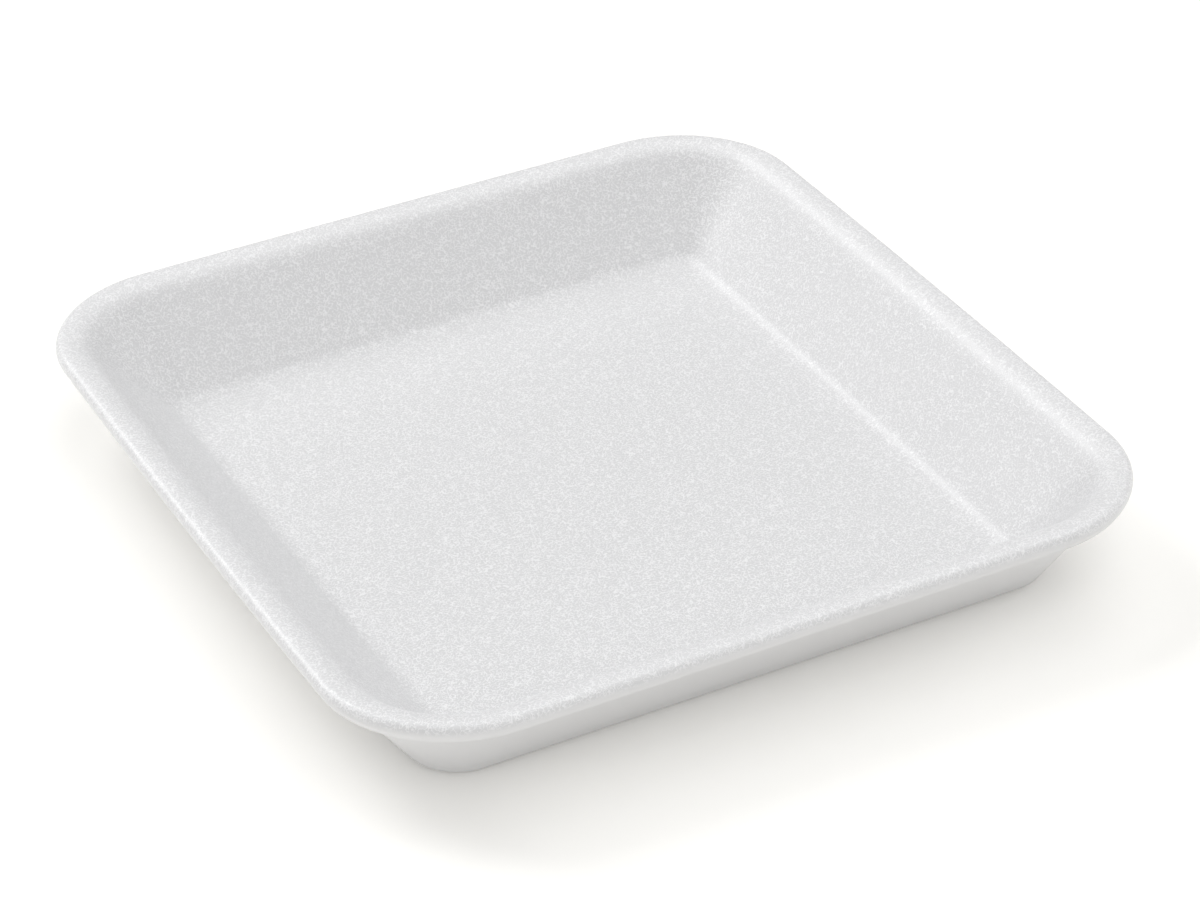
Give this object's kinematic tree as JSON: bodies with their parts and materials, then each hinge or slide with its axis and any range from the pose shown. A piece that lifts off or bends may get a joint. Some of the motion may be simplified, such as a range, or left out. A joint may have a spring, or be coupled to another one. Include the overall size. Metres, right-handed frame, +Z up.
{
  "type": "foam tray",
  "caption": "Shallow, nearly square foam tray with rounded corners, sloping walls and a soft rolled rim, for packing food.",
  "frame": {"origin": "on the resting surface, under the middle of the tray", "axes": "+Z up, out of the open side; Y along the longer sides, X along the shorter sides"},
  "size_m": [0.2022, 0.216, 0.0273],
  "materials": {
    "white_foam": "white expanded polystyrene sheet with a fine cell pattern and a soft satin skin"
  },
  "bodies": {
    "root": {"tray": "white_foam"}
  },
  "joints": []
}
